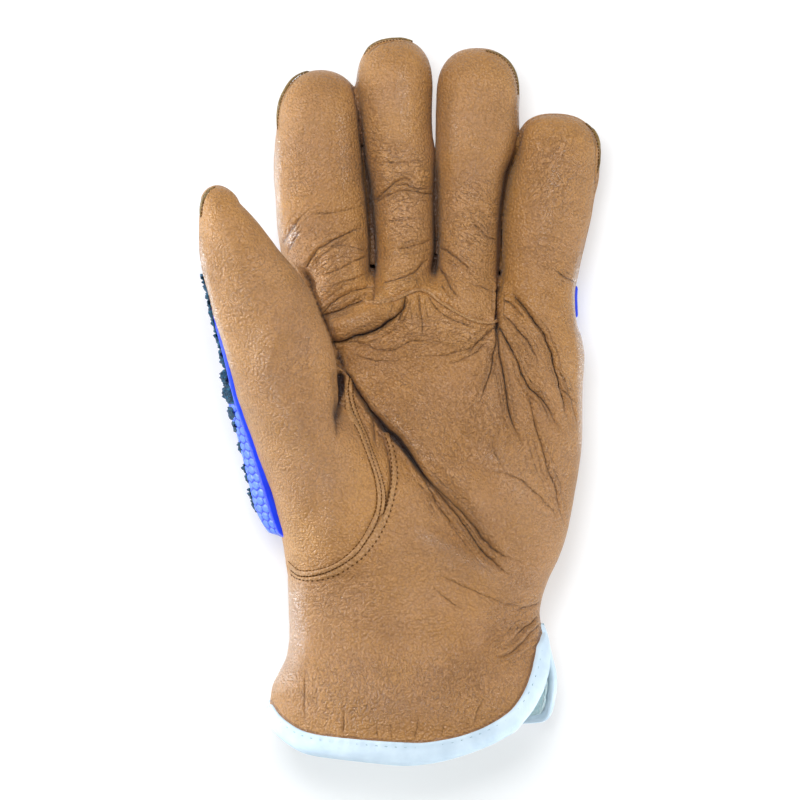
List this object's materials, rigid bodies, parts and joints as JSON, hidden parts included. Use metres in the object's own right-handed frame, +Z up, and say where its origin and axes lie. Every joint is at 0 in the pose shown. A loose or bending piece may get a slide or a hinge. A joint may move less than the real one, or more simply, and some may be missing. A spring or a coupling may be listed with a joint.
{
  "type": "leather driver glove",
  "caption": "Left-hand tan leather driver glove, filled as worn, with a white bound cuff and blue rubber guards on the back of the thumb and knuckles.",
  "frame": {"origin": "centre of the glove's outline as seen from above, on the surface that its back rests on", "axes": "+Y along the fingers towards their tips, +Z up out of the palm, +X towards the little finger"},
  "size_m": [0.1387, 0.2512, 0.0659],
  "materials": {
    "leather": "tan grained leather with fine creases",
    "welt": "pale folded leather edge with dark stitches",
    "binding": "white folded tape",
    "lining": "pale knitted lining",
    "guard_rubber": "satin blue rubber",
    "ridge_rubber": "pebbled dark rubber"
  },
  "bodies": {
    "root": {"palm_panel": "leather", "two_finger_panel": "leather", "finger_welt": "welt", "back_panel": "leather", "fourchette_index_middle": "leather", "fourchette_middle_ring": "leather", "fourchette_ring_little": "leather", "thumb_front": "leather", "thumb_back": "leather", "thumb_inner_welt": "welt", "thumb_gusset": "leather", "thumb_seam_band": "welt", "cuff_binding_palm": "binding", "cuff_binding_back": "binding", "cuff_lining": "lining", "thumb_guard": "guard_rubber", "thumb_guard_ridge": "ridge_rubber", "knuckle_guard": "guard_rubber"}
  },
  "joints": []
}
